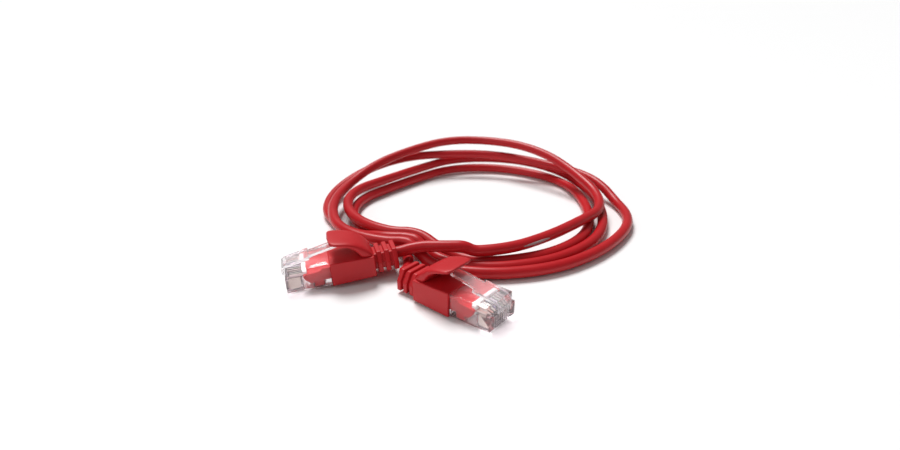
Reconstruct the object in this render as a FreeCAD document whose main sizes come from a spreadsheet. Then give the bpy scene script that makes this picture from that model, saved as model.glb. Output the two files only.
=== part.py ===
import FreeCAD, Part
import os
import math
import Sketcher
from FreeCAD import Placement, Rotation, Vector

# Ethernet patch cable: a slim four-pair cord coiled in four turns, with a clear eight-way plug
# and a slotted, hooded boot on each end. Units are millimetres and +Z is up. The coil rests on
# the plane z = 0 and is centred near the origin.
#
# Each end is drawn in its own plug frame: +X is the way the plug is pushed in, z = 0 is the
# contact side, the latch is on top, and the front face is at x = 0. A placement then lays the
# finished pieces beside the coil.

os.makedirs("parts", exist_ok=True)
doc = FreeCAD.newDocument("PatchCable")

# ---------------------------------------------------------------- driving sizes

SIZES = [
    # the clear plug
    ("plug_width", "11.68"),
    ("plug_height", "6.6"),
    ("plug_length", "21.5"),
    ("nose_step", "1.0"),
    ("nose_step_height", "4.2"),
    ("edge_round", "0.35"),
    ("exposed_length", "12.8"),
    ("neck_side_step", "0.2"),
    ("neck_top", "6.0"),
    ("neck_bottom", "0.3"),
    ("fit_gap", "0.05"),
    # contacts and conductors
    ("contact_pitch", "1.02"),
    ("contact_thickness", "0.36"),
    ("contact_front", "0.9"),
    ("contact_rear", "4.2"),
    ("contact_bottom", "0.55"),
    ("contact_top", "3.45"),
    ("tine_height", "0.35"),
    ("tine_length", "0.5"),
    ("slot_width", "0.46"),
    ("slot_rear", "4.7"),
    ("wire_height", "3.95"),
    ("wire_radius", "0.27"),
    ("copper_radius", "0.13"),
    ("wire_front", "1.5"),
    ("channel_front", "1.3"),
    ("channel_bottom", "3.5"),
    ("channel_top", "4.6"),
    ("channel_half_width", "4.4"),
    ("fan_start", "6.4"),
    ("fan_end", "14.0"),
    # moulded sleeve inside the plug
    ("cavity_front", "5.0"),
    ("cavity_half_width", "5.25"),
    ("cavity_bottom", "0.6"),
    ("cavity_top", "5.3"),
    ("sleeve_front", "6.4"),
    ("sleeve_slant", "2.2"),
    ("sleeve_hollow_bottom", "1.6"),
    ("sleeve_hollow_top", "4.7"),
    ("notch_length", "1.5"),
    ("notch_top", "2.1"),
    ("guide_bottom", "2.9"),
    ("guide_bore_gap", "0.02"),
    ("guide_front", "5.1"),
    ("guide_rear", "6.2"),
    # latch
    ("latch_half_width", "3.1"),
    ("tongue_half_width", "1.95"),
    ("latch_bulge", "0.6"),
    ("latch_root_bottom", "4.45"),
    ("latch_root_top", "6.95"),
    ("latch_step_x", "7.5"),
    ("latch_step_top", "8.9"),
    ("latch_thickness", "1.15"),
    ("tongue_rear", "15.5"),
    ("tongue_rear_top", "10.3"),
    ("latch_pivot_x", "-0.9"),
    ("latch_pivot_z", "6.5"),
    # boot
    ("boot_front_half_width", "6.4"),
    ("boot_rear_half_width", "6.0"),
    ("boot_front_top", "6.75"),
    ("boot_rear_top", "6.2"),
    ("boot_bottom", "0.3"),
    ("boot_box_rear", "25.6"),
    ("boot_rear_bottom", "0.1"),
    ("rib_half_width", "5.0"),
    ("rib_side_top", "3.2"),
    ("rib_bottom", "0.25"),
    ("rib_top", "6.3"),
    ("rib_top_half_width", "3.1"),
    ("rib_thickness", "1.45"),
    ("rib_gap", "0.9"),
    ("rib_count", "3"),
    ("slot_depth", "0.85"),
    ("cable_axis_height", "3.3"),
    # hood
    ("hood_half_width", "5.7"),
    ("hood_tip_x", "13.2"),
    ("hood_tip_top", "12.5"),
    ("hood_crest_x", "18.5"),
    ("hood_crest_top", "11.9"),
    ("hood_root_x", "26.2"),
    ("hood_root_bottom", "6.4"),
    ("hood_pivot_x", "21.8"),
    ("hood_thickness", "1.15"),
    # cable
    ("jacket_radius", "1.8"),
    ("jacket_bore", "1.4"),
    ("floor_gap", "0.12"),
    ("pair_radius", "0.54"),
    ("pair_offset", "0.8"),
    ("jacket_front", "14.2"),
    ("bend_x", "34.3"),
    ("bend_setback", "1.6"),
    ("bend_radius", "1.4"),
    # where the coil and the two plugs lie
    ("coil_centre_x", "-0.16"),
    ("coil_centre_y", "12.48"),
    ("plug_a_x", "-56.66"),
    ("plug_a_y", "-43.02"),
    ("plug_a_z", "0.1"),
    ("plug_a_heading", "196.2"),
    ("plug_a_dip", "4.4"),
    ("plug_b_x", "4.24"),
    ("plug_b_y", "-63.72"),
    ("plug_b_z", "0.3"),
    ("plug_b_heading", "-39.0"),
    ("plug_b_dip", "0.0"),
]

sheet = doc.addObject("Spreadsheet::Sheet", "Sizes")
for row, (alias, value) in enumerate(SIZES, start=1):
    sheet.set("A%d" % row, alias)
    sheet.set("B%d" % row, value)
    sheet.setAlias("B%d" % row, alias)
doc.recompute()


def size(alias):
    """The number held in the sheet under this name."""
    return float(sheet.get(alias))


# ---------------------------------------------------------------- drawing helpers

def origin_plane(body, role):
    """One of the body's own origin planes, by its role."""
    return [item for item in body.Origin.OriginFeatures if item.Role == role][0]


def new_body(label):
    """An empty body whose label names its file."""
    body = doc.addObject("PartDesign::Body", label)
    body.Label = label
    return body


def sketch_on(body, name, role, offset=None):
    """A sketch on an origin plane, moved along the plane's normal by an expression."""
    sketch = body.newObject("Sketcher::SketchObject", name)
    sketch.AttachmentSupport = [(origin_plane(body, role), "")]
    sketch.MapMode = "FlatFace"
    if offset is not None:
        sketch.setExpression("AttachmentOffset.Base.z", offset)
    return sketch


def pin_point(sketch, edge, end, start, across, up):
    """Fix one end of an edge, drawn at start, at a point given by two expressions."""
    for kind, value, expression in (
        ("DistanceX", start.x, across),
        ("DistanceY", start.y, up),
    ):
        index = sketch.addConstraint(Sketcher.Constraint(kind, -1, 1, edge, end, value))
        sketch.setExpression("Constraints[%d]" % index, expression)


def outline(body, name, role, points, offset=None):
    """A closed outline of straight edges through points given as pairs of expressions."""
    sketch = sketch_on(body, name, role, offset)
    count = len(points)
    turn = 2 * math.pi / count
    start = [Vector(10 * math.cos(i * turn), 10 * math.sin(i * turn), 0) for i in range(count)]
    first = sketch.GeometryCount
    for i in range(count):
        sketch.addGeometry(Part.LineSegment(start[i], start[(i + 1) % count]), False)
    for i in range(count):
        following = first + (i + 1) % count
        sketch.addConstraint(Sketcher.Constraint("Coincident", first + i, 2, following, 1))
    for i, (across, up) in enumerate(points):
        pin_point(sketch, first + i, 1, start[i], across, up)
    return sketch


def box_outline(body, name, role, left, right, low, high, offset=None):
    """A rectangle between four expressions."""
    corners = [(left, low), (right, low), (right, high), (left, high)]
    return outline(body, name, role, corners, offset)


def ring_sketch(body, name, role, radii, up, offset=None):
    """Concentric circles at height up, each radius an expression."""
    sketch = sketch_on(body, name, role, offset)
    for radius in radii:
        circle = sketch.addGeometry(Part.Circle(Vector(0, 3, 0), Vector(0, 0, 1), 1.0), False)
        sketch.addConstraint(Sketcher.Constraint("PointOnObject", circle, 3, -2))
        index = sketch.addConstraint(Sketcher.Constraint("DistanceY", -1, 1, circle, 3, 3.0))
        sketch.setExpression("Constraints[%d]" % index, up)
        index = sketch.addConstraint(Sketcher.Constraint("Radius", circle, 1.0))
        sketch.setExpression("Constraints[%d]" % index, radius)
    return sketch


def pad(body, name, sketch, length, symmetric=False, reverse=False):
    """Add material from a sketch."""
    feature = body.newObject("PartDesign::Pad", name)
    feature.Profile = sketch
    feature.SideType = "Symmetric" if symmetric else "One side"
    feature.Reversed = reverse
    feature.setExpression("Length", length)
    return feature


def pocket(body, name, sketch, length, symmetric=False, reverse=False):
    """Take material away with a sketch."""
    feature = body.newObject("PartDesign::Pocket", name)
    feature.Profile = sketch
    feature.SideType = "Symmetric" if symmetric else "One side"
    feature.Reversed = reverse
    feature.setExpression("Length", length)
    return feature


def row_of(body, name, feature, count, direction_role, span, reverse=False):
    """Repeat a feature along the normal of an origin plane."""
    pattern = body.newObject("PartDesign::LinearPattern", name)
    pattern.Originals = [feature]
    pattern.Direction = (origin_plane(body, direction_role), [""])
    pattern.Reversed = reverse
    pattern.setExpression("Occurrences", count)
    pattern.setExpression("Length", span)
    body.Tip = pattern
    return pattern


def plug_placement(end):
    """Where the frame of plug a or plug b lies in the assembly."""
    heading = Rotation(Vector(0, 0, 1), size("plug_%s_heading" % end))
    dip = Rotation(Vector(0, 1, 0), size("plug_%s_dip" % end))
    base = Vector(size("plug_%s_x" % end), size("plug_%s_y" % end), size("plug_%s_z" % end))
    return Placement(base, heading.multiply(dip))


# ---------------------------------------------------------------- the clear plug

def is_long_corner(box):
    """True for the bounding box of one of the housing's four long outer corners."""
    near = 0.01
    at_side = abs(abs(box.YMin) - size("plug_width") / 2) < near and box.YLength < near
    at_bottom = abs(box.ZMin) < near
    at_top = abs(box.ZMin - size("plug_height")) < near
    return at_side and (at_bottom or at_top) and box.ZLength < near and box.XLength > 2


def make_plug_housing(end):
    """Clear housing: stepped nose, contact slots, wire channel and rear cavity."""
    body = new_body("plug_housing_" + end)
    side = outline(body, "HousingSide_" + end, "XZ_Plane", [
        ("-Sizes.exposed_length", "0"),
        ("0", "0"),
        ("0", "Sizes.nose_step_height"),
        ("-Sizes.nose_step", "Sizes.nose_step_height"),
        ("-Sizes.nose_step", "Sizes.plug_height"),
        ("-Sizes.exposed_length", "Sizes.plug_height"),
    ])
    nose = pad(body, "HousingNose_" + end, side, "Sizes.plug_width", symmetric=True)
    doc.recompute()
    long_edges = []
    for number, edge in enumerate(nose.Shape.Edges, start=1):
        if is_long_corner(edge.BoundBox):
            long_edges.append("Edge%d" % number)
    rounding = body.newObject("PartDesign::Fillet", "HousingRounding_" + end)
    rounding.Base = (nose, long_edges)
    rounding.setExpression("Radius", "Sizes.edge_round")
    half = "Sizes.plug_width / 2 - Sizes.neck_side_step"
    neck = box_outline(body, "HousingNeckOutline_" + end, "YZ_Plane",
                       "-(%s)" % half, half, "Sizes.neck_bottom", "Sizes.neck_top",
                       "-Sizes.plug_length")
    pad(body, "HousingNeck_" + end, neck, "Sizes.plug_length - Sizes.exposed_length + 1")
    cavity = box_outline(body, "HousingCavityOutline_" + end, "YZ_Plane",
                         "-Sizes.cavity_half_width", "Sizes.cavity_half_width",
                         "Sizes.cavity_bottom", "Sizes.cavity_top", "-Sizes.plug_length")
    pocket(body, "HousingCavity_" + end, cavity,
           "Sizes.plug_length - Sizes.cavity_front", reverse=True)
    channel = box_outline(body, "HousingChannelOutline_" + end, "YZ_Plane",
                          "-Sizes.channel_half_width", "Sizes.channel_half_width",
                          "Sizes.channel_bottom", "Sizes.channel_top",
                          "-Sizes.cavity_front - 0.5")
    pocket(body, "HousingChannel_" + end, channel,
           "Sizes.cavity_front + 0.5 - Sizes.channel_front", reverse=True)
    slot_side = box_outline(body, "HousingSlotOutline_" + end, "XZ_Plane",
                            "-Sizes.slot_rear", "1", "-1", "Sizes.channel_bottom + 0.2",
                            "3.5 * Sizes.contact_pitch")
    slot = pocket(body, "HousingSlot_" + end, slot_side, "Sizes.slot_width", symmetric=True)
    row_of(body, "HousingSlots_" + end, slot, "8", "XZ_Plane", "7 * Sizes.contact_pitch",
           reverse=True)
    body.Placement = plug_placement(end)
    return body


def make_contacts(end):
    """Eight gold blades, each with two tines that pierce its conductor."""
    body = new_body("contacts_" + end)
    side = outline(body, "ContactSide_" + end, "XZ_Plane", [
        ("-Sizes.contact_rear", "Sizes.contact_bottom + 0.5"),
        ("-Sizes.contact_rear + 0.5", "Sizes.contact_bottom"),
        ("-Sizes.contact_front - 0.4", "Sizes.contact_bottom"),
        ("-Sizes.contact_front", "Sizes.contact_bottom + 0.4"),
        ("-Sizes.contact_front", "Sizes.contact_top - 0.6"),
        ("-Sizes.contact_front - 0.6", "Sizes.contact_top"),
        ("-Sizes.contact_front - 0.9", "Sizes.contact_top + Sizes.tine_height"),
        ("-Sizes.contact_front - 0.9 - Sizes.tine_length / 2", "Sizes.contact_top"),
        ("-Sizes.contact_rear + 0.9 + Sizes.tine_length / 2", "Sizes.contact_top"),
        ("-Sizes.contact_rear + 0.9", "Sizes.contact_top + Sizes.tine_height"),
        ("-Sizes.contact_rear + 0.6", "Sizes.contact_top"),
        ("-Sizes.contact_rear", "Sizes.contact_top"),
    ], "3.5 * Sizes.contact_pitch")
    pad(body, "ContactBlade_" + end, side, "Sizes.contact_thickness", symmetric=True)
    doc.recompute()
    blade = body.Tip.Shape.copy()
    doc.removeObject(body.Name)
    blades = []
    for i in range(8):
        one = blade.copy()
        one.translate(Vector(0, i * size("contact_pitch"), 0))
        blades.append(one)
    group = doc.addObject("Part::Feature", "contacts_" + end)
    group.Label = "contacts_" + end
    group.Shape = Part.makeCompound(blades)
    group.Placement = plug_placement(end)
    return group


def make_strain_sleeve(end):
    """Moulded sleeve that fills the rear of the plug and grips the jacket."""
    body = new_body("strain_sleeve_" + end)
    low = "Sizes.cavity_bottom + Sizes.fit_gap"
    high = "Sizes.cavity_top - Sizes.fit_gap"
    side = outline(body, "SleeveSide_" + end, "XZ_Plane", [
        ("-Sizes.plug_length", low),
        ("-Sizes.sleeve_front - Sizes.sleeve_slant", low),
        ("-Sizes.sleeve_front", "Sizes.cavity_top - 1.6"),
        ("-Sizes.sleeve_front", high),
        ("-Sizes.plug_length", high),
    ])
    pad(body, "SleeveBlock_" + end, side,
        "2 * (Sizes.cavity_half_width - Sizes.fit_gap)", symmetric=True)
    hollow = box_outline(body, "SleeveHollowOutline_" + end, "YZ_Plane",
                         "-Sizes.channel_half_width + 0.2", "Sizes.channel_half_width - 0.2",
                         "Sizes.sleeve_hollow_bottom", "Sizes.sleeve_hollow_top",
                         "-Sizes.fan_end")
    pocket(body, "SleeveHollow_" + end, hollow, "Sizes.fan_end", reverse=True)
    bore = ring_sketch(body, "SleeveBoreOutline_" + end, "YZ_Plane",
                       ["Sizes.jacket_radius"], "Sizes.cable_axis_height", "-Sizes.plug_length - 1")
    pocket(body, "SleeveBore_" + end, bore, "Sizes.plug_length", reverse=True)
    for number, notch_front in enumerate(("Sizes.sleeve_front + 1.4", "Sizes.sleeve_front + 4.4")):
        notch = box_outline(body, "SleeveNotchOutline%d_%s" % (number, end), "XZ_Plane",
                            "-(%s) - Sizes.notch_length" % notch_front,
                            "-(%s)" % notch_front, "0", "Sizes.notch_top")
        pocket(body, "SleeveNotch%d_%s" % (number, end), notch, "Sizes.plug_width", symmetric=True)
    body.Placement = plug_placement(end)
    return body


def conductor_heights(index):
    """Where conductor 1 to 8 sits inside the jacket: across and up from the cable axis."""
    reach = size("pair_offset")
    half = size("wire_radius") + size("fit_gap")
    spots = {
        0: (-reach, -half), 1: (-reach, half),
        2: (-half, -reach), 3: (-half, reach),
        4: (half, reach), 5: (half, -reach),
        6: (reach, half), 7: (reach, -half),
    }
    return spots[index]


def conductor_path(end, index):
    """Centre line of one conductor, from the plug's nose to the cable's bend."""
    across = (index - 3.5) * size("contact_pitch")
    inner_across, inner_up = conductor_heights(index)
    axis = size("cable_axis_height")
    rear = -size("bend_x") + size("bend_setback")
    front_point = Vector(-size("wire_front"), across, size("wire_height"))
    fan_front = Vector(-size("fan_start"), across, size("wire_height"))
    fan_rear = Vector(-size("fan_end"), inner_across, axis + inner_up)
    rear_point = Vector(rear, inner_across, axis + inner_up)
    fan = Part.BSplineCurve()
    back = Vector(-1, 0, 0) * (size("fan_end") - size("fan_start"))
    fan.interpolate(Points=[fan_front, fan_rear], Tangents=[back, back],
                    TangentFlags=[True, True])
    edges = [
        Part.makeLine(front_point, fan_front),
        fan.toShape(),
        Part.makeLine(fan_rear, rear_point),
    ]
    path = doc.addObject("Part::Feature", "ConductorPath%d_%s" % (index + 1, end))
    path.Shape = Part.Wire(edges)
    return path


def round_section(name, radius, point, direction):
    """A circle across a path at one point, its radius bound to the sheet."""
    circle = doc.addObject("Part::Circle", name)
    circle.setExpression("Radius", radius)
    circle.Placement = Placement(point, Rotation(Vector(0, 0, 1), direction))
    return circle


def sweep_round(name, path, radius, point, direction):
    """A solid rod along a path."""
    section = round_section(name + "_section", radius, point, direction)
    rod = doc.addObject("Part::Sweep", name)
    rod.Sections = [section]
    rod.Spine = (path, ["Edge%d" % (i + 1) for i in range(len(path.Shape.Edges))])
    rod.Solid = True
    rod.Frenet = False
    return rod


WIRE_NAMES = (
    "white_orange", "orange", "white_green", "blue",
    "white_blue", "green", "white_brown", "brown",
)


def make_conductors(end):
    """Eight insulated conductors, each an insulating tube round a copper core."""
    cores = []
    for index, colour in enumerate(WIRE_NAMES):
        path = conductor_path(end, index)
        start = path.Shape.Edges[0].Vertexes[0].Point
        label = "wire_%s_%s" % (colour, end)
        outer = sweep_round(label + "_outer", path, "Sizes.wire_radius", start, Vector(-1, 0, 0))
        core = sweep_round(label + "_core", path, "Sizes.copper_radius", start, Vector(-1, 0, 0))
        tube = doc.addObject("Part::Cut", label)
        tube.Label = label
        tube.Base = outer
        tube.Tool = core
        tube.Placement = plug_placement(end)
        subparts.append(tube)
        cores.append(core)
    doc.recompute()
    copper = doc.addObject("Part::Feature", "copper_cores_" + end)
    copper.Label = "copper_cores_" + end
    copper.Shape = Part.makeCompound([core.Shape.Solids[0].copy() for core in cores])
    copper.Placement = plug_placement(end)
    subparts.append(copper)


def make_wire_guide(end):
    """Small comb that holds the eight conductors in line behind the contacts."""
    body = new_body("wire_guide_" + end)
    block = box_outline(body, "GuideOutline_" + end, "YZ_Plane",
                        "-Sizes.channel_half_width + 0.1", "Sizes.channel_half_width - 0.1",
                        "Sizes.guide_bottom", "Sizes.cavity_top - Sizes.fit_gap",
                        "-Sizes.guide_rear")
    pad(body, "GuideBlock_" + end, block, "Sizes.guide_rear - Sizes.guide_front")
    holes = sketch_on(body, "GuideHoles_" + end, "YZ_Plane", "-Sizes.guide_rear - 1")
    for i in range(8):
        circle = holes.addGeometry(
            Part.Circle(Vector(i - 3.5, 4, 0), Vector(0, 0, 1), 0.3), False)
        for kind, expression in (
            ("DistanceX", "%s * Sizes.contact_pitch" % (i - 3.5)),
            ("DistanceY", "Sizes.wire_height"),
        ):
            index = holes.addConstraint(Sketcher.Constraint(kind, -1, 1, circle, 3, 1.0))
            holes.setExpression("Constraints[%d]" % index, expression)
        index = holes.addConstraint(Sketcher.Constraint("Radius", circle, 0.3))
        holes.setExpression("Constraints[%d]" % index, "Sizes.wire_radius + Sizes.guide_bore_gap")
    pocket(body, "GuideBores_" + end, holes, "Sizes.guide_rear", reverse=True)
    body.Placement = plug_placement(end)
    return body


def make_latch(end):
    """Springy latch: curved root at the nose, wide stop and narrow tongue."""
    body = new_body("latch_" + end)
    side = outline(body, "LatchSide_" + end, "XZ_Plane", [
        ("Sizes.fit_gap", "Sizes.latch_root_bottom"),
        ("Sizes.latch_bulge", "Sizes.latch_root_bottom + 0.5"),
        ("Sizes.latch_bulge", "Sizes.latch_root_top - 0.6"),
        ("Sizes.latch_bulge - 0.5", "Sizes.latch_root_top"),
        ("-1.6", "Sizes.latch_root_top + 0.65"),
        ("-Sizes.latch_step_x", "Sizes.latch_step_top"),
        ("-Sizes.latch_step_x", "Sizes.latch_step_top - Sizes.latch_thickness"),
        ("-1.6", "Sizes.plug_height + 0.38"),
        ("-Sizes.nose_step + 0.25", "Sizes.plug_height"),
        ("-Sizes.nose_step + 0.25", "Sizes.nose_step_height + 0.25"),
        ("Sizes.fit_gap", "Sizes.nose_step_height + 0.25"),
    ])
    pad(body, "LatchWide_" + end, side, "2 * Sizes.latch_half_width", symmetric=True)
    tongue = outline(body, "LatchTongueSide_" + end, "XZ_Plane", [
        ("-Sizes.latch_step_x + 1.5", "Sizes.latch_step_top - 0.15"),
        ("-Sizes.tongue_rear", "Sizes.tongue_rear_top"),
        ("-Sizes.tongue_rear", "Sizes.tongue_rear_top - 0.8"),
        ("-Sizes.latch_step_x + 1.5", "Sizes.latch_step_top - 1.2"),
    ])
    pad(body, "LatchTongue_" + end, tongue, "2 * Sizes.tongue_half_width", symmetric=True)
    body.Placement = plug_placement(end)
    return body


# ---------------------------------------------------------------- boot and hood

def rib_outline(inset):
    """Outline across a rib, drawn in by inset: straight sides and sloped shoulders."""
    side = "(Sizes.rib_half_width - %s)" % inset
    shoulder = "(Sizes.rib_top_half_width - %s / 2)" % inset
    low = "Sizes.rib_bottom + %s" % inset
    top = "Sizes.rib_top - %s" % inset
    return [
        ("-" + side, low),
        (side, low),
        (side, "Sizes.rib_side_top"),
        (shoulder, top),
        ("-" + shoulder, top),
        ("-" + side, "Sizes.rib_side_top"),
    ]


def make_boot(end):
    """Boot: tapered box over the plug's rear, then three slotted ribs round the jacket."""
    body = new_body("boot_" + end)
    front = box_outline(body, "BootFront_" + end, "YZ_Plane",
                        "-Sizes.boot_front_half_width", "Sizes.boot_front_half_width",
                        "-Sizes.boot_bottom", "Sizes.boot_front_top", "-Sizes.exposed_length")
    rear = box_outline(body, "BootRear_" + end, "YZ_Plane",
                       "-Sizes.boot_rear_half_width", "Sizes.boot_rear_half_width",
                       "-Sizes.boot_rear_bottom", "Sizes.boot_rear_top", "-Sizes.boot_box_rear")
    shell = body.newObject("PartDesign::AdditiveLoft", "BootBox_" + end)
    shell.Profile = front
    shell.Sections = [rear]
    shell.Ruled = True
    ribs_rear = ("-Sizes.boot_box_rear - Sizes.rib_count * "
                 "(Sizes.rib_thickness + Sizes.rib_gap)")
    core = outline(body, "BootCoreOutline_" + end, "YZ_Plane", rib_outline("Sizes.slot_depth"),
                   ribs_rear)
    pad(body, "BootCore_" + end, core,
        "Sizes.rib_count * (Sizes.rib_thickness + Sizes.rib_gap) + 1")
    rib = outline(body, "BootRibOutline_" + end, "YZ_Plane", rib_outline("0"), ribs_rear)
    one_rib = pad(body, "BootRib_" + end, rib, "Sizes.rib_thickness")
    row_of(body, "BootRibs_" + end, one_rib, "Sizes.rib_count", "YZ_Plane",
           "(Sizes.rib_count - 1) * (Sizes.rib_thickness + Sizes.rib_gap)")
    half = "Sizes.plug_width / 2 - Sizes.neck_side_step + Sizes.fit_gap"
    inside = box_outline(body, "BootInsideOutline_" + end, "YZ_Plane",
                         "-(%s)" % half, half, "Sizes.neck_bottom - Sizes.fit_gap",
                         "Sizes.neck_top + Sizes.fit_gap", "-Sizes.plug_length - Sizes.fit_gap")
    pocket(body, "BootInside_" + end, inside, "Sizes.plug_length", reverse=True)
    bore = ring_sketch(body, "BootBoreOutline_" + end, "YZ_Plane",
                       ["Sizes.jacket_radius"], "Sizes.cable_axis_height", "-Sizes.bend_x")
    body.Tip = pocket(body, "BootBore_" + end, bore, "Sizes.bend_x", reverse=True)
    body.Placement = plug_placement(end)
    return body


def make_boot_hood(end):
    """Curved hood that springs from the boot's rear and covers the latch tongue."""
    body = new_body("boot_hood_" + end)
    side = outline(body, "HoodSide_" + end, "XZ_Plane", [
        ("-Sizes.hood_root_x", "Sizes.hood_root_bottom"),
        ("-Sizes.hood_pivot_x", "Sizes.hood_root_bottom"),
        ("-Sizes.hood_pivot_x + 0.9", "Sizes.hood_root_bottom + 1.7"),
        ("-Sizes.hood_crest_x - 1.5", "Sizes.hood_crest_top - 2.7"),
        ("-Sizes.hood_crest_x - 0.1", "Sizes.hood_crest_top - 1.7"),
        ("-Sizes.hood_tip_x", "Sizes.hood_tip_top - Sizes.hood_thickness + 0.2"),
        ("-Sizes.hood_tip_x", "Sizes.hood_tip_top"),
        ("-Sizes.hood_crest_x + 1.5", "Sizes.hood_crest_top + 0.1"),
        ("-Sizes.hood_crest_x - 1.5", "Sizes.hood_crest_top - 0.55"),
        ("-Sizes.hood_pivot_x - 0.2", "Sizes.hood_crest_top - 1.4"),
        ("-Sizes.hood_root_x + 1.6", "Sizes.hood_root_bottom + 2.6"),
        ("-Sizes.hood_root_x + 0.4", "Sizes.hood_root_bottom + 1.5"),
        ("-Sizes.hood_root_x", "Sizes.hood_root_bottom + 0.8"),
    ])
    pad(body, "HoodStrap_" + end, side, "2 * Sizes.hood_half_width", symmetric=True)
    body.Placement = plug_placement(end)
    return body


# ---------------------------------------------------------------- the cord

def make_jacket_end(end):
    """The jacket inside the plug and boot, up to where the cord bends."""
    body = new_body("jacket_end_" + end)
    ring = ring_sketch(body, "JacketRing_" + end, "YZ_Plane",
                       ["Sizes.jacket_radius", "Sizes.jacket_bore"], "Sizes.cable_axis_height",
                       "-Sizes.bend_x + Sizes.bend_setback")
    pad(body, "JacketTube_" + end, ring,
        "Sizes.bend_x - Sizes.bend_setback - Sizes.jacket_front")
    body.Placement = plug_placement(end)
    return body


def bend_centre(end):
    """Centre of the cord's bend behind a boot, in the assembly."""
    return plug_placement(end).multVec(Vector(-size("bend_x"), 0, size("cable_axis_height")))


def make_cable_bend(end):
    """The short flexing length of cord behind the boot, as a ball at its centre."""
    ball = doc.addObject("Part::Sphere", "cable_bend_" + end)
    ball.Label = "cable_bend_" + end
    ball.setExpression("Radius", "Sizes.bend_radius")
    ball.Placement = Placement(bend_centre(end), Rotation())
    return ball


# Stations the cord passes, turn by turn: (angle in degrees, distance from the middle of the
# coil, height of the cord's centre). The angle counts on from turn to turn, anticlockwise from
# above, and 270, 630, 990 and 1350 are the front of the coil.
STATIONS = (
    # first turn, on top: from plug a over the back to the left
    (254, 46.8, 7.3), (262, 46.3, 6.8), (270, 45.6, 6.2), (285, 44.2, 5.9), (315, 41.1, 5.9),
    (360, 47.2, 6.4),
    (382, 45.2, 10.0), (405, 45.0, 13.8), (450, 51.2, 15.0), (495, 48.3, 11.8),
    (540, 52.1, 5.9), (585, 51.0, 5.9), (593, 48.5, 5.9), (600, 45.7, 5.9),
    # second turn: steps down to the floor and runs outermost at the front and right
    (606, 46.6, 4.2), (613, 49.0, 2.1), (622, 51.0, 1.8), (630, 52.0, 1.8), (650, 53.2, 1.8),
    (675, 53.8, 1.8),
    (720, 56.9, 1.8), (742, 54.0, 6.4), (765, 50.3, 7.6), (810, 47.2, 9.6), (855, 53.0, 8.2),
    (900, 56.0, 2.0), (920, 51.0, 1.8), (935, 48.0, 3.0), (948, 45.5, 5.2), (960, 41.8, 5.5),
    # third turn: steps down inside the second
    (966, 42.6, 3.9), (973, 45.0, 2.6), (990, 48.2, 1.8), (1010, 49.1, 1.8),
    (1035, 48.9, 1.8), (1080, 48.7, 1.8),
    (1102, 51.5, 2.6), (1125, 54.6, 4.4), (1170, 53.4, 5.5), (1215, 42.3, 5.5),
    (1260, 47.5, 5.5), (1305, 41.9, 5.5), (1320, 38.0, 5.4),
    # fourth turn: lowest, then out under plug a's tail to plug b
    (1332, 40.0, 3.4), (1341, 42.3, 2.0), (1350, 44.4, 1.8), (1370, 45.1, 1.8), (1395, 44.8, 1.8),
    (1440, 43.4, 1.8), (1485, 50.4, 1.8), (1530, 50.7, 1.8), (1575, 41.2, 1.8),
    (1620, 45.4, 1.8), (1665, 43.0, 1.8), (1674, 43.0, 1.8), (1683.3, 48.6, 1.8),
    (1685.7, 52.6, 1.8),
)
TAIL_A_WAY = Vector(0.95, 0.20, 0.22)
TAIL_B_WAY = Vector(0.05, 0.90, -0.42)
STRAIGHT = 0.9999995


def polar_point(degrees, radius, height):
    """A point of the coil from its angle, distance from the middle and height."""
    angle = math.radians(degrees)
    level = height + size("floor_gap")
    centre = Vector(size("coil_centre_x"), size("coil_centre_y"), level)
    return centre + Vector(radius * math.cos(angle), radius * math.sin(angle), 0)


def way_at(before, here, after):
    """The way the cord runs at a point: along the circle through it and its neighbours.

    At the top or foot of a slope it runs level, so the cord never dips under the floor.
    """
    back = here - before
    onward = after - here
    way = back * (1 / back.Length ** 2) + onward * (1 / onward.Length ** 2)
    if back.z * onward.z <= 0:
        way.z = 0
    return way.normalize()


def cord_points():
    """Points the cord passes, from behind plug a to behind plug b, and its way at each."""
    setback = size("bend_setback")
    away_a = Vector(TAIL_A_WAY).normalize()
    away_b = Vector(TAIL_B_WAY).normalize()
    points = [bend_centre("a") + away_a * setback]
    points += [polar_point(*station) for station in STATIONS]
    points.append(bend_centre("b") + away_b * setback)
    inner = [way_at(*points[i - 1:i + 2]) for i in range(1, len(points) - 1)]
    return points, [away_a] + inner + [away_b * -1]


def tangent_reach(start, end, start_way, end_way):
    """Length of the equal tangents of two arcs that join smoothly between two points."""
    chord = end - start
    lean = chord.dot(start_way + end_way)
    bend = 2 * (1 - start_way.dot(end_way))
    if bend < 1e-9:
        return chord.dot(chord) / (2 * lean)
    return (math.sqrt(lean ** 2 + bend * chord.dot(chord)) - lean) / bend


def arc_edge(start, corner, end):
    """The arc from start to end whose tangents there meet at corner."""
    middle = (start + end) * 0.5
    slant = (middle - start).Length / (corner - start).Length
    if slant > STRAIGHT:
        return Part.makeLine(start, end)
    crown = middle + (corner - middle) * (slant / (1 + slant))
    return Part.Arc(start, crown, end).toShape()


def cord_edges(points, ways):
    """Two tangent arcs between each pair of neighbouring points."""
    edges = []
    for i in range(len(points) - 1):
        start, end = points[i], points[i + 1]
        reach = tangent_reach(start, end, ways[i], ways[i + 1])
        first_corner = start + ways[i] * reach
        last_corner = end - ways[i + 1] * reach
        joint = (first_corner + last_corner) * 0.5
        edges.append(arc_edge(start, first_corner, joint))
        edges.append(arc_edge(joint, last_corner, end))
    return edges


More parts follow.
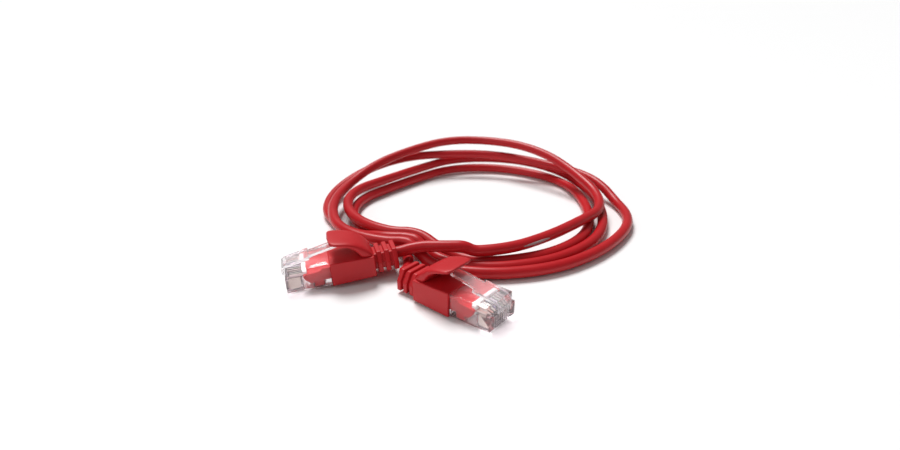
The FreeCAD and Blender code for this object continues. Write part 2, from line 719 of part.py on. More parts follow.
def make_coil():
    """The long run of cord: jacket and the four conductor pairs inside it."""
    points, ways = cord_points()
    start_way = ways[0]
    path = doc.addObject("Part::Feature", "CoilPath")
    path.Shape = Part.Wire(cord_edges(points, ways))
    frame = Rotation(Vector(0, 0, 1), start_way)
    outer = sweep_round("CoilOuter", path, "Sizes.jacket_radius", points[0], start_way)
    inner = sweep_round("CoilInner", path, "Sizes.jacket_bore", points[0], start_way)
    jacket = doc.addObject("Part::Cut", "cable_jacket")
    jacket.Label = "cable_jacket"
    jacket.Base = outer
    jacket.Tool = inner
    subparts.append(jacket)
    for number, colour in enumerate(("orange", "green", "blue", "brown")):
        angle = math.radians(90 * number)
        reach_out = size("pair_offset")
        aside = frame.multVec(Vector(math.cos(angle), math.sin(angle), 0) * reach_out)
        label = "pair_" + colour
        pair = sweep_round(label, path, "Sizes.pair_radius", points[0] + aside, start_way)
        pair.Label = label
        subparts.append(pair)


# ---------------------------------------------------------------- build, check and write

subparts = []
for plug_end in ("a", "b"):
    for maker in (make_plug_housing, make_contacts, make_strain_sleeve, make_wire_guide,
                  make_latch, make_boot, make_boot_hood, make_jacket_end, make_cable_bend):
        subparts.append(maker(plug_end))
    make_conductors(plug_end)
make_coil()
doc.recompute()

for item in doc.Objects:
    if "Invalid" in item.State or "Error" in item.State:
        raise RuntimeError("%s did not build: %s" % (item.Label, item.State))

for part in subparts:
    shape = part.Shape
    if shape.isNull() or not shape.isValid() or not shape.Solids:
        raise RuntimeError("%s has no valid solid" % part.Label)
    shape.exportStep("parts/%s.step" % part.Label)
    print(part.Label, "%.2f mm3" % shape.Volume, len(shape.Solids))
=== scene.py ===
import bmesh
import bpy
import math
from mathutils import Matrix, Vector


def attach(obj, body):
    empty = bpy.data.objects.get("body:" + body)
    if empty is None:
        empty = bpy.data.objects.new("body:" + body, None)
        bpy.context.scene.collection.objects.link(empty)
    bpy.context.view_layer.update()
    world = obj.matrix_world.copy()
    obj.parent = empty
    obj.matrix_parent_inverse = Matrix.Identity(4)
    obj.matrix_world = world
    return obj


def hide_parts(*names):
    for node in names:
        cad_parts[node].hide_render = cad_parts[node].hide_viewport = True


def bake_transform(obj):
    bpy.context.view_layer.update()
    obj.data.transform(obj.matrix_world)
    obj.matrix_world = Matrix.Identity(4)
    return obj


# Ethernet patch cable: a coiled red cord with a clear latching plug and a hooded boot on each
# end. Sizes are written in millimetres and turned into metres when a mesh is made. A piece of a
# plug is drawn in that plug's own frame: +X is the way it is pushed in, x = 0 is the nose's
# front face and z = 0 its underside.

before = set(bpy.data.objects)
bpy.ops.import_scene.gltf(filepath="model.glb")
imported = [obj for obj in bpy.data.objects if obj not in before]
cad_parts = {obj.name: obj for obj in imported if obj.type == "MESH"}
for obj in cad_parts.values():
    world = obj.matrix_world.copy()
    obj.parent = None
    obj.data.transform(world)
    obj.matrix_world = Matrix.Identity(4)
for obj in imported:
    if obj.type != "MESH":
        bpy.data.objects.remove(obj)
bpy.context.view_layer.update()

MM = 0.001

# ---------------------------------------------------------------- where the plugs lie

COIL_CENTRE = (-0.16, 12.48)
PLUGS = {
    "a": {"place": (-56.66, -43.02, 0.1), "heading": 196.2, "dip": 4.4},
    "b": {"place": (4.24, -63.72, 0.3), "heading": -39.0, "dip": 0.0},
}
BEND_X = 34.3
BEND_SETBACK = 1.6
CABLE_AXIS = 3.3
JACKET_RADIUS = 1.8
FLOOR_GAP = 0.12


def plug_matrix(end):
    """The plug's own frame, in millimetres."""
    plug = PLUGS[end]
    turn = Matrix.Rotation(math.radians(plug["heading"]), 4, "Z")
    dip = Matrix.Rotation(math.radians(plug["dip"]), 4, "Y")
    return Matrix.Translation(Vector(plug["place"])) @ turn @ dip


# ---------------------------------------------------------------- the cord's path

# (angle in degrees, distance from the middle, height), turn after turn, anticlockwise.
STATIONS = (
    (262, 46.4, 7.6), (270, 45.7, 5.9), (315, 41.1, 5.9), (360, 47.2, 6.4),
    (382, 45.2, 10.0), (405, 45.0, 13.8), (450, 51.2, 15.0), (495, 48.3, 11.8),
    (540, 52.1, 5.9), (585, 51.0, 5.9), (593, 48.5, 5.9), (600, 45.7, 5.9),
    (606, 46.6, 4.2), (613, 49.0, 2.1), (622, 51.0, 1.8), (630, 52.0, 1.8), (650, 53.2, 1.8),
    (675, 53.8, 1.8),
    (720, 56.9, 1.8), (742, 54.0, 6.4), (765, 50.3, 7.6), (810, 47.2, 9.6), (855, 53.0, 8.2),
    (900, 56.0, 2.0), (920, 51.0, 1.8), (935, 48.0, 3.0), (948, 45.5, 5.2), (960, 41.8, 5.5),
    (966, 42.6, 3.9), (973, 45.0, 2.6), (990, 48.2, 1.8), (1010, 49.1, 1.8),
    (1035, 48.9, 1.8), (1080, 48.7, 1.8),
    (1102, 51.5, 2.6), (1125, 54.6, 4.4), (1170, 53.4, 5.5), (1215, 42.3, 5.5),
    (1260, 47.5, 5.5), (1305, 41.9, 5.5), (1320, 38.0, 5.4),
    (1332, 40.0, 3.4), (1341, 42.3, 2.0), (1350, 44.4, 1.8), (1370, 45.1, 1.8), (1395, 44.8, 1.8),
    (1440, 43.4, 1.8), (1485, 50.4, 1.8), (1530, 50.7, 1.8), (1575, 41.2, 1.8),
    (1620, 45.4, 1.8), (1665, 43.0, 1.8), (1674, 43.0, 1.8), (1683.3, 48.6, 1.8),
    (1685.7, 52.6, 1.8),
)
# The ways in which the coil's two ends head away from the boots.
TAIL_WAYS = {"a": Vector((0.95, 0.20, 0.22)), "b": Vector((0.05, 0.90, -0.42))}
ARC_STEPS = 9
NEARLY_STRAIGHT = 1e-7


def polar_point(degrees, radius, height):
    """A point of the coil from its angle, distance from the middle and height."""
    angle = math.radians(degrees)
    across = COIL_CENTRE[0] + radius * math.cos(angle)
    along = COIL_CENTRE[1] + radius * math.sin(angle)
    return Vector((across, along, height + FLOOR_GAP))


def way_at(before, here, after):
    """The way the cord runs at a point, level at the top or foot of a slope."""
    back = here - before
    onward = after - here
    way = back / back.length_squared + onward / onward.length_squared
    if back.z * onward.z <= 0:
        way.z = 0
    return way.normalized()


def bend_centre(end):
    """Middle of the flexing length behind a boot."""
    return plug_matrix(end) @ Vector((-BEND_X, 0, CABLE_AXIS))


def tail_start(end):
    """Where the coil's run begins behind a boot."""
    return bend_centre(end) + TAIL_WAYS[end].normalized() * BEND_SETBACK


def arc_points(start, corner, end, steps):
    """Points of the arc whose end tangents meet at corner, without its last point."""
    middle = (start + end) / 2
    weight = min(1.0, (middle - start).length / (corner - start).length)
    points = []
    for i in range(steps):
        t = i / steps
        near, far, pull = (1 - t) ** 2, t ** 2, 2 * weight * t * (1 - t)
        points.append((start * near + corner * pull + end * far) / (near + far + pull))
    return points


def tangent_reach(start, end, start_way, end_way):
    """Length of the equal tangents of two arcs that join smoothly between two points."""
    chord = end - start
    lean = chord.dot(start_way + end_way)
    bend = 2 * (1 - start_way.dot(end_way))
    if bend < NEARLY_STRAIGHT:
        return chord.length_squared / (2 * lean)
    return (math.sqrt(lean ** 2 + bend * chord.length_squared) - lean) / bend


def cord_line():
    """Closely spaced points along the whole coil."""
    points = [tail_start("a")] + [polar_point(*s) for s in STATIONS] + [tail_start("b")]
    ways = [way_at(*points[i - 1:i + 2]) for i in range(1, len(points) - 1)]
    ways = [TAIL_WAYS["a"].normalized()] + ways + [-TAIL_WAYS["b"].normalized()]
    line = []
    for i in range(len(points) - 1):
        start, end = points[i], points[i + 1]
        reach = tangent_reach(start, end, ways[i], ways[i + 1])
        first_corner = start + ways[i] * reach
        last_corner = end - ways[i + 1] * reach
        joint = (first_corner + last_corner) / 2
        line += arc_points(start, first_corner, joint, ARC_STEPS)
        line += arc_points(joint, last_corner, end, ARC_STEPS)
    return line + [points[-1]]


# ---------------------------------------------------------------- mesh helpers

# Faces that meet at more than this many degrees look crisp; a curved piece allows more.
CRISP_FROM = 35
CRISP_FROM_ON_CURVES = 60
# How edges are rolled over: (width, segments, least degrees between the two faces).
ROLLED = {
    "boot": (0.45, 4, 40), "rib": (0.32, 3, 25), "core": (0.40, 3, 25),
    "nose": (0.28, 3, 40), "sleeve": (0.25, 3, 40), "latch": (0.16, 3, 30),
}


def make_mesh(name, corners, faces, material, smooth=True):
    """A mesh object from corners in millimetres, with its faces turned outward."""
    data = bpy.data.meshes.new(name)
    data.from_pydata([tuple(Vector(c) * MM) for c in corners], [], faces)
    data.validate()
    shape = bmesh.new()
    shape.from_mesh(data)
    bmesh.ops.recalc_face_normals(shape, faces=shape.faces)
    shape.to_mesh(data)
    shape.free()
    data.update()
    if smooth:
        data.shade_smooth()
    piece = bpy.data.objects.new(name, data)
    bpy.context.scene.collection.objects.link(piece)
    data.materials.append(material)
    return piece


def skin_loops(loops):
    """Corners and faces of a closed skin over loops of equal count, capped at both ends."""
    count = len(loops[0])
    corners = [corner for loop in loops for corner in loop]
    faces = []
    for i in range(len(loops) - 1):
        low, high = i * count, (i + 1) * count
        for j in range(count):
            k = (j + 1) % count
            faces.append((low + j, low + k, high + k, high + j))
    last = (len(loops) - 1) * count
    faces.append(tuple(range(count - 1, -1, -1)))
    faces.append(tuple(range(last, last + count)))
    return corners, faces


def round_loops(line, radius, sides):
    """Circles across a line of points that don't twist from one to the next."""
    loops = []
    way = (line[1] - line[0]).normalized()
    side = way.orthogonal().normalized()
    turn = 2 * math.pi / sides
    for i, centre in enumerate(line):
        ahead = line[min(i + 1, len(line) - 1)]
        behind = line[max(i - 1, 0)]
        way = (ahead - behind).normalized()
        side = (side - way * side.dot(way)).normalized()
        up = way.cross(side)
        loops.append([
            centre + (side * math.cos(j * turn) + up * math.sin(j * turn)) * radius
            for j in range(sides)
        ])
    return loops


def smooth_by_angle(piece, degrees=CRISP_FROM):
    """Round where faces nearly agree, crisp where they don't."""
    piece.data.set_sharp_from_angle(angle=math.radians(degrees))


def round_edges(piece, width, segments, degrees):
    """Roll the edges over, as a mould leaves them."""
    bevel = piece.modifiers.new("rolled_edges", "BEVEL")
    bevel.width = width * MM
    bevel.segments = segments
    bevel.limit_method = "ANGLE"
    bevel.angle_limit = math.radians(degrees)
    bevel.harden_normals = True


def lay_at_plug(piece, end):
    """Move a piece drawn in a plug's frame to where that plug lies."""
    matrix = plug_matrix(end)
    turn = matrix.to_3x3().to_4x4()
    piece.data.transform(Matrix.Translation(matrix.translation * MM) @ turn)


# ---------------------------------------------------------------- materials

GRAIN_DETAIL = 4.0
GRAIN_DEPTH = 0.2 * MM
CLOUD_SCALE = 130
SHINIER = 0.06
DULLER = 0.08
PLASTIC_IOR = 1.5
PLASTIC_SHINE = 0.3
METAL_GRAIN = {"scale": 4000, "strength": 0.15}
CLEAR_GRAIN = {"scale": 350, "strength": 0.10}
CLEAR_IOR = 1.45
# Share of light that refracts through clear plastic, and share of its tint that shadows keep.
CLARITY = 0.93
SHADOW_TINT = 0.9


def new_material(name):
    """A new node material, its node tree and its surface shader."""
    material = bpy.data.materials.new(name)
    material.use_nodes = True
    tree = material.node_tree
    return material, tree, tree.nodes["Principled BSDF"]


def grain_bump(tree, shader, scale, strength):
    """Fine uneven surface, in object space; gives back the node that says where a point is."""
    place = tree.nodes.new("ShaderNodeTexCoord")
    grain = tree.nodes.new("ShaderNodeTexNoise")
    grain.inputs["Scale"].default_value = scale
    grain.inputs["Detail"].default_value = GRAIN_DETAIL
    bump = tree.nodes.new("ShaderNodeBump")
    bump.inputs["Strength"].default_value = strength
    bump.inputs["Distance"].default_value = GRAIN_DEPTH
    tree.links.new(place.outputs["Object"], grain.inputs["Vector"])
    tree.links.new(grain.outputs["Fac"], bump.inputs["Height"])
    tree.links.new(bump.outputs["Normal"], shader.inputs["Normal"])
    return place


def plastic(name, colour, deep, roughness, grain_scale, grain_strength):
    """Moulded plastic: two close tones, fine grain and uneven gloss."""
    material, tree, shader = new_material(name)
    place = grain_bump(tree, shader, grain_scale, grain_strength)
    cloud = tree.nodes.new("ShaderNodeTexNoise")
    cloud.inputs["Scale"].default_value = CLOUD_SCALE
    tree.links.new(place.outputs["Object"], cloud.inputs["Vector"])
    tone = tree.nodes.new("ShaderNodeMix")
    tone.data_type = "RGBA"
    tone.inputs["A"].default_value = (*deep, 1)
    tone.inputs["B"].default_value = (*colour, 1)
    tree.links.new(cloud.outputs["Fac"], tone.inputs["Factor"])
    tree.links.new(tone.outputs["Result"], shader.inputs["Base Color"])
    gloss = tree.nodes.new("ShaderNodeMapRange")
    gloss.inputs["To Min"].default_value = roughness - SHINIER
    gloss.inputs["To Max"].default_value = roughness + DULLER
    tree.links.new(cloud.outputs["Fac"], gloss.inputs["Value"])
    tree.links.new(gloss.outputs["Result"], shader.inputs["Roughness"])
    shader.inputs["IOR"].default_value = PLASTIC_IOR
    shader.inputs["Specular IOR Level"].default_value = PLASTIC_SHINE
    return material


def metal(name, colour, roughness):
    """Plated metal with faint drawing marks."""
    material, tree, shader = new_material(name)
    grain_bump(tree, shader, **METAL_GRAIN)
    shader.inputs["Base Color"].default_value = (*colour, 1)
    shader.inputs["Metallic"].default_value = 1.0
    shader.inputs["Roughness"].default_value = roughness
    return material


def clear_plastic(name, tint, roughness):
    """Slightly milky refracting moulding that still lets light reach what is inside it."""
    material, tree, shader = new_material(name)
    grain_bump(tree, shader, **CLEAR_GRAIN)
    shader.inputs["Base Color"].default_value = (*tint, 1)
    shader.inputs["Transmission Weight"].default_value = CLARITY
    shader.inputs["Roughness"].default_value = roughness
    shader.inputs["IOR"].default_value = CLEAR_IOR
    through = tree.nodes.new("ShaderNodeBsdfTransparent")
    through.inputs["Color"].default_value = (*(SHADOW_TINT * c for c in tint), 1)
    path = tree.nodes.new("ShaderNodeLightPath")
    mix = tree.nodes.new("ShaderNodeMixShader")
    output = tree.nodes["Material Output"]
    tree.links.new(path.outputs["Is Shadow Ray"], mix.inputs["Fac"])
    tree.links.new(shader.outputs["BSDF"], mix.inputs[1])
    tree.links.new(through.outputs["BSDF"], mix.inputs[2])
    tree.links.new(mix.outputs["Shader"], output.inputs["Surface"])
    return material


JACKET = plastic("jacket_pvc", colour=(0.56, 0.014, 0.020), deep=(0.46, 0.009, 0.014),
                 roughness=0.34, grain_scale=900, grain_strength=0.10)
BOOT = plastic("boot_pvc", colour=(0.58, 0.016, 0.022), deep=(0.50, 0.011, 0.016),
               roughness=0.38, grain_scale=1400, grain_strength=0.14)
SLEEVE = plastic("sleeve_pvc", colour=(0.60, 0.014, 0.022), deep=(0.50, 0.010, 0.016),
                 roughness=0.45, grain_scale=1200, grain_strength=0.12)
GUIDE = plastic("guide_nylon", colour=(0.88, 0.88, 0.87), deep=(0.8, 0.8, 0.8),
                roughness=0.4, grain_scale=1500, grain_strength=0.1)
CLEAR = clear_plastic("plug_polycarbonate", tint=(0.93, 0.89, 0.91), roughness=0.12)
LATCH = clear_plastic("latch_polycarbonate", tint=(0.95, 0.92, 0.93), roughness=0.08)
GOLD = metal("contact_gold", colour=(0.80, 0.72, 0.64), roughness=0.38)
COPPER = metal("core_copper", colour=(0.85, 0.42, 0.25), roughness=0.35)

WIRE_COLOURS = {
    "orange": (0.90, 0.26, 0.03), "green": (0.03, 0.32, 0.08),
    "blue": (0.02, 0.10, 0.50), "brown": (0.16, 0.06, 0.02),
    "white_orange": (0.88, 0.66, 0.48), "white_green": (0.62, 0.80, 0.64),
    "white_blue": (0.60, 0.68, 0.86), "white_brown": (0.74, 0.64, 0.54),
}
# The conductors hardly show their colours through the plug, so each is mostly this tone.
WIRE_VEIL = (0.55, 0.47, 0.49)
VEIL_SHARE = 0.72
DEEP_SHARE = 0.85


def insulation(name, rgb):
    """A conductor's plastic, in its colour as it looks through the plug."""
    colour = tuple(VEIL_SHARE * v + (1 - VEIL_SHARE) * c for v, c in zip(WIRE_VEIL, rgb))
    deep = tuple(DEEP_SHARE * c for c in colour)
    return plastic("insulation_" + name, colour, deep,
                   roughness=0.4, grain_scale=2000, grain_strength=0.08)


WIRES = {name: insulation(name, rgb) for name, rgb in WIRE_COLOURS.items()}
END_MATERIALS = {
    "plug_housing": CLEAR, "contacts": GOLD, "strain_sleeve": SLEEVE, "wire_guide": GUIDE,
    "latch": LATCH, "boot": BOOT, "boot_hood": BOOT, "jacket_end": JACKET,
    "cable_bend": JACKET, "copper_cores": COPPER,
}


def wear(node, material):
    """Give a CAD node its material."""
    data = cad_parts[node].data
    data.materials.clear()
    data.materials.append(material)


for end in "ab":
    for node, material in END_MATERIALS.items():
        wear(node + "_" + end, material)
    for colour, material in WIRES.items():
        wear("wire_%s_%s" % (colour, end), material)
for colour in ("orange", "green", "blue", "brown"):
    wear("pair_" + colour, WIRES[colour])
wear("cable_jacket", JACKET)

# ---------------------------------------------------------------- the cord

CORD_SIDES = 28
FLEX_STEPS = 12


def make_cord():
    """The whole coiled run, one smooth round cord."""
    corners, faces = skin_loops(round_loops(cord_line(), JACKET_RADIUS, CORD_SIDES))
    cord = make_mesh("cord", corners, faces, JACKET)
    smooth_by_angle(cord)
    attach(cord, "coil")
    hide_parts("cable_jacket")


def make_flex(end):
    """The short curved length behind a boot, in two halves."""
    plug_point = plug_matrix(end) @ Vector((-BEND_X + BEND_SETBACK, 0, CABLE_AXIS))
    line = arc_points(tail_start(end), bend_centre(end), plug_point, FLEX_STEPS) + [plug_point]
    loops = round_loops(line, JACKET_RADIUS, CORD_SIDES)
    middle = FLEX_STEPS // 2
    halves = (
        ("flex_coil_side_" + end, slice(0, middle + 1), "coil", "bend_" + end),
        ("flex_plug_side_" + end, slice(middle, None), "bend_" + end, "plug_" + end),
    )
    for name, stretch, first, second in halves:
        corners, faces = skin_loops(loops[stretch])
        piece = make_mesh(name, corners, faces, JACKET)
        smooth_by_angle(piece, CRISP_FROM_ON_CURVES)
        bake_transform(piece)
        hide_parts("cable_bend_" + end)


# ---------------------------------------------------------------- boot, ribs and hood

BOOT_FRONT = 12.8
BOOT_REAR = 25.6
CAVITY_REAR = 21.55
# Sections across the boot: (half width, bottom, top).
CAVITY = (5.49, 0.25, 6.05)
FRONT_OUTSIDE = (6.4, -0.3, 6.75)
REAR_OUTSIDE = (6.0, -0.1, 6.2)

RIB_COUNT = 3
RIB_THICKNESS = 1.45
RIB_GAP = 0.9
RIB_HALF_WIDTH = 5.0
RIB_TOP_HALF_WIDTH = 3.1
RIB_BOTTOM = 0.25
RIB_SIDE_TOP = 3.2
RIB_TOP = 6.3
SLOT_DEPTH = 0.85
# How far before the last rib's rear face the core stops.
CORE_SHORT = 0.3


def rectangle_across(x, half_width, low, high):
    """Four corners of a rectangle across the plug."""
    return [(x, -half_width, low), (x, half_width, low),
            (x, half_width, high), (x, -half_width, high)]


def make_boot(end):
    """Tapered shell over the rear of the plug, open at the front."""
    loops = [
        rectangle_across(-CAVITY_REAR, *CAVITY),
        rectangle_across(-BOOT_FRONT, *CAVITY),
        rectangle_across(-BOOT_FRONT, *FRONT_OUTSIDE),
        rectangle_across(-BOOT_REAR, *REAR_OUTSIDE),
    ]
    corners, faces = skin_loops(loops)
    boot = make_mesh("boot_shell_" + end, corners, faces, BOOT)
    round_edges(boot, *ROLLED["boot"])
    smooth_by_angle(boot)
    lay_at_plug(boot, end)
    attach(boot, "plug_" + end)
    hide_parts("boot_" + end)


def rib_outline(x, inset=0.0):
    """A rib's outline, drawn in by inset: straight sides, shoulders sloped to a narrower top."""
    half_width = RIB_HALF_WIDTH - inset
    top_half_width = RIB_TOP_HALF_WIDTH - inset / 2
    low, high = RIB_BOTTOM + inset, RIB_TOP - inset
    return [(x, -half_width, low), (x, half_width, low),
            (x, half_width, RIB_SIDE_TOP), (x, top_half_width, high),
            (x, -top_half_width, high), (x, -half_width, RIB_SIDE_TOP)]


def make_rib_block(name, loops, end, rolled):
    """A rib or the core behind a boot."""
    corners, faces = skin_loops(loops)
    block = make_mesh(name, corners, faces, BOOT)
    round_edges(block, *rolled)
    smooth_by_angle(block)
    lay_at_plug(block, end)
    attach(block, "plug_" + end)


def make_ribs(end):
    """Three flexing ribs round the cord, on a narrow core."""
    step = RIB_THICKNESS + RIB_GAP
    for number in range(RIB_COUNT):
        front = -BOOT_REAR - RIB_GAP - number * step
        make_rib_block("boot_rib_%d_%s" % (number + 1, end),
                       [rib_outline(front), rib_outline(front - RIB_THICKNESS)],
                       end, ROLLED["rib"])
    core_rear = -BOOT_REAR - RIB_COUNT * step + CORE_SHORT
    make_rib_block("boot_core_" + end,
                   [rib_outline(-BOOT_REAR, SLOT_DEPTH), rib_outline(core_rear, SLOT_DEPTH)],
                   end, ROLLED["core"])


# Hood sections from root to tip: (x, underside, top, half width).
HOOD_SECTIONS = (
    (-25.5, 5.5, 6.3, 5.0), (-25.1, 5.5, 7.3, 5.3), (-24.3, 5.5, 8.5, 5.5),
    (-23.3, 5.6, 9.5, 5.6), (-22.5, 5.8, 10.1, 5.65), (-21.9, 6.3, 10.45, 5.65),
    (-21.5, 7.2, 10.7, 5.65), (-20.9, 8.2, 11.0, 5.65), (-20.0, 9.2, 11.35, 5.65),
    (-18.6, 10.1, 11.75, 5.6), (-17.0, 10.75, 12.05, 5.6), (-15.0, 11.2, 12.35, 5.45),
    (-13.2, 11.6, 12.55, 5.2),
)
HOOD_SIDES = 20
CROWN = 0.12
# Powers below 1 square off the section: strongly towards the sides, less over the top.
SIDE_POWER = 0.35
TOP_POWER = 0.6


def hood_loop(x, low, high, half_width):
    """A rounded, slightly crowned section across the hood."""
    loop = []
    for j in range(HOOD_SIDES):
        angle = 2 * math.pi * j / HOOD_SIDES
        c, s = math.cos(angle), math.sin(angle)
        across = math.copysign(abs(c) ** SIDE_POWER, c) * half_width
        up = math.copysign(abs(s) ** TOP_POWER, s) * (high - low) / 2
        crown = CROWN * (1 - (across / half_width) ** 2)
        loop.append((x, across, (low + high) / 2 + up - CROWN + crown))
    return loop


def make_hood(end):
    """Curved hood over the latch's tongue; it bends where it rises from the boot."""
    corners, faces = skin_loops([hood_loop(*section) for section in HOOD_SECTIONS])
    hood = make_mesh("hood_shell_" + end, corners, faces, BOOT)
    smoothing = hood.modifiers.new("even_curve", "SUBSURF")
    smoothing.levels = 1
    smoothing.render_levels = 1
    smooth_by_angle(hood, CRISP_FROM_ON_CURVES)
    lay_at_plug(hood, end)
    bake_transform(hood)
    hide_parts("boot_hood_" + end)


# ---------------------------------------------------------------- the clear plug

PLUG_HALF = 5.84
NOSE_OUTLINE = ((-12.8, 0), (0, 0), (0, 4.2), (-1.0, 4.2), (-1.0, 6.6), (-12.8, 6.6))
CONTACT_COUNT = 8
CONTACT_PITCH = 1.02
SLOT_HALF = 0.23
SLOT_REACH = 4.7
SLOT_TOP = 3.7
# How far the cutter sticks out of the nose in front and below.
CUT_PAST = 1
SLEEVE_OUTLINE = (
    (-13.4, 1.9), (-10.6, 1.9), (-10.6, 0.35), (-7.9, 0.35), (-7.9, 1.6), (-6.9, 1.6),
    (-5.6, 2.7), (-5.0, 3.9), (-5.2, 4.5), (-9.6, 4.9), (-10.6, 5.6), (-13.4, 5.6),
)
SLEEVE_HALF = 5.4
# Latch strip from its root at the nose back over the plug: (x, height, thickness, half width).
LATCH_STRIP = (
    (0.33, 4.48, 0.50, 2.9), (0.36, 5.10, 0.50, 3.1), (0.34, 6.00, 0.55, 3.1),
    (0.10, 6.65, 0.62, 3.1), (-0.50, 7.02, 0.68, 3.1), (-1.80, 7.28, 0.75, 3.1),
    (-4.0, 7.68, 0.95, 3.1), (-6.0, 8.05, 1.10, 3.1), (-7.45, 8.30, 1.15, 3.1),
    (-7.50, 8.31, 1.00, 1.95), (-8.6, 8.55, 0.85, 1.95), (-12.0, 9.25, 0.80, 1.95),
    (-15.5, 9.90, 0.80, 1.90),
)


def extruded(name, outline, half_width, material):
    """A block with the given side outline, centred across the plug."""
    loops = [[(x, side, z) for x, z in outline] for side in (-half_width, half_width)]
    corners, faces = skin_loops(loops)
    return make_mesh(name, corners, faces, material)


def bent_strip(name, strip, material):
    """A flat strip that follows a bent line in the plug's middle plane."""
    loops = []
    for i, (x, z, thickness, half_width) in enumerate(strip):
        before = strip[max(i - 1, 0)]
        after = strip[min(i + 1, len(strip) - 1)]
        way = Vector((after[0] - before[0], 0, after[1] - before[1])).normalized()
        up = Vector((way.z, 0, -way.x)) * (thickness / 2)
        centre, side = Vector((x, 0, z)), Vector((0, half_width, 0))
        loops.append([centre - side - up, centre + side - up,
                      centre + side + up, centre - side + up])
    corners, faces = skin_loops(loops)
    return make_mesh(name, corners, faces, material)


def cut_slots(piece):
    """Cut the eight contact slots into the nose and keep the result as a plain mesh."""
    corners, faces = [], []
    outline = [(-SLOT_REACH, -CUT_PAST), (CUT_PAST, -CUT_PAST),
               (CUT_PAST, SLOT_TOP), (-SLOT_REACH, SLOT_TOP)]
    for i in range(CONTACT_COUNT):
        middle = (i - (CONTACT_COUNT - 1) / 2) * CONTACT_PITCH
        sides = [[(x, middle + s, z) for x, z in outline] for s in (-SLOT_HALF, SLOT_HALF)]
        more_corners, more_faces = skin_loops(sides)
        faces += [tuple(len(corners) + k for k in face) for face in more_faces]
        corners += more_corners
    cutter = make_mesh("slot_cutter", corners, faces, CLEAR, smooth=False)
    cut = piece.modifiers.new("slots", "BOOLEAN")
    cut.object = cutter
    cut.operation = "DIFFERENCE"
    cut.solver = "EXACT"
    bpy.context.view_layer.update()
    shown = piece.evaluated_get(bpy.context.evaluated_depsgraph_get())
    piece.data = bpy.data.meshes.new_from_object(shown)
    piece.modifiers.clear()
    bpy.data.objects.remove(cutter)


def make_nose(end):
    """Clear nose of the plug, with its slots."""
    nose = extruded("nose_" + end, NOSE_OUTLINE, PLUG_HALF, CLEAR)
    round_edges(nose, *ROLLED["nose"])
    cut_slots(nose)
    smooth_by_angle(nose)
    lay_at_plug(nose, end)
    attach(nose, "plug_" + end)
    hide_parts("plug_housing_" + end)


def make_sleeve(end):
    """Red sleeve that shows through the nose."""
    sleeve = extruded("red_sleeve_" + end, SLEEVE_OUTLINE, SLEEVE_HALF, SLEEVE)
    round_edges(sleeve, *ROLLED["sleeve"])
    smooth_by_angle(sleeve)
    lay_at_plug(sleeve, end)
    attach(sleeve, "plug_" + end)
    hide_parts("strain_sleeve_" + end)


def make_latch(end):
    """Clear latch that springs from the nose's front and runs back under the hood."""
    latch = bent_strip("latch_strip_" + end, LATCH_STRIP, LATCH)
    round_edges(latch, *ROLLED["latch"])
    smooth_by_angle(latch)
    lay_at_plug(latch, end)
    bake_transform(latch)
    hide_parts("latch_" + end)


make_cord()
for end in "ab":
    make_nose(end)
    make_sleeve(end)
    make_latch(end)
    make_flex(end)
    make_boot(end)
    make_ribs(end)
    make_hood(end)

# ---------------------------------------------------------------- floor, light and camera

# From here on, lengths are in metres.
FLOOR_HALF = 12.0
FLOOR_DROP = 0.00035
FLOOR_COLOUR = (0.92, 0.92, 0.92)
FLOOR_ROUGHNESS = 0.75
WORLD_COLOUR = (1, 1, 1)
WORLD_LIGHTING = 0.2
WORLD_SEEN = 1.0
CAMERA_PLACE = (-0.00916, -0.18152, 0.07915)
CAMERA_TILT = 66.476
CAMERA_LENS = 21.71
CAMERA_SENSOR = 36
CAMERA_NEAR = 0.005
FOCUS_DISTANCE = 0.165
APERTURE = 16


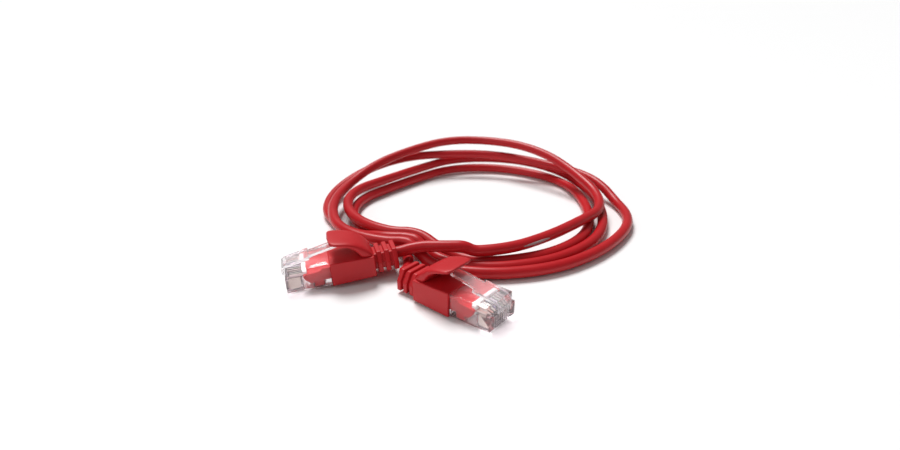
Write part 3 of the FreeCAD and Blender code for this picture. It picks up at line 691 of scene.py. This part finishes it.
def make_floor():
    """A plain pale floor."""
    material, _, shader = new_material("floor_white")
    shader.inputs["Base Color"].default_value = (*FLOOR_COLOUR, 1)
    shader.inputs["Roughness"].default_value = FLOOR_ROUGHNESS
    data = bpy.data.meshes.new("floor")
    signs = ((-1, -1), (1, -1), (1, 1), (-1, 1))
    corners = [(x * FLOOR_HALF, y * FLOOR_HALF, 0) for x, y in signs]
    data.from_pydata(corners, [], [(0, 1, 2, 3)])
    data.materials.append(material)
    floor = bpy.data.objects.new("floor", data)
    floor.location.z = -FLOOR_DROP
    bpy.context.scene.collection.objects.link(floor)


def make_light(name, place, spread, strength):
    """A large soft lamp, the same over the whole floor, shining from place to the middle."""
    data = bpy.data.lights.new(name, "SUN")
    data.angle = math.radians(spread)
    data.energy = strength
    lamp = bpy.data.objects.new(name, data)
    lamp.rotation_euler = (-Vector(place)).to_track_quat("-Z", "Y").to_euler()
    bpy.context.scene.collection.objects.link(lamp)


def make_world():
    """Even white surroundings, brighter where they are seen directly or through clear plastic."""
    world = bpy.data.worlds.new("studio")
    world.use_nodes = True
    tree = world.node_tree
    back = tree.nodes["Background"]
    back.inputs["Color"].default_value = (*WORLD_COLOUR, 1)
    path = tree.nodes.new("ShaderNodeLightPath")
    strength = tree.nodes.new("ShaderNodeMapRange")
    strength.inputs["To Min"].default_value = WORLD_LIGHTING
    strength.inputs["To Max"].default_value = WORLD_SEEN
    seen = tree.nodes.new("ShaderNodeMath")
    seen.operation = "MAXIMUM"
    tree.links.new(path.outputs["Is Transmission Ray"], seen.inputs[0])
    tree.links.new(path.outputs["Is Camera Ray"], seen.inputs[1])
    tree.links.new(seen.outputs["Value"], strength.inputs["Value"])
    tree.links.new(strength.outputs["Result"], back.inputs["Strength"])
    bpy.context.scene.world = world


def make_camera():
    """Low view from in front of the coil."""
    data = bpy.data.cameras.new("camera")
    data.sensor_width = CAMERA_SENSOR
    data.lens = CAMERA_LENS
    data.clip_start = CAMERA_NEAR
    data.dof.use_dof = True
    data.dof.focus_distance = FOCUS_DISTANCE
    data.dof.aperture_fstop = APERTURE
    camera = bpy.data.objects.new("camera", data)
    camera.location = CAMERA_PLACE
    camera.rotation_euler = (math.radians(CAMERA_TILT), 0, 0)
    bpy.context.scene.collection.objects.link(camera)
    bpy.context.scene.camera = camera


make_floor()
make_world()
make_light("key", place=(-0.22, 0.50, 1.0), spread=26, strength=3.0)
make_light("fill", place=(-0.7, -0.6, 0.6), spread=60, strength=0.55)
make_camera()
bpy.context.scene.view_settings.view_transform = "Standard"
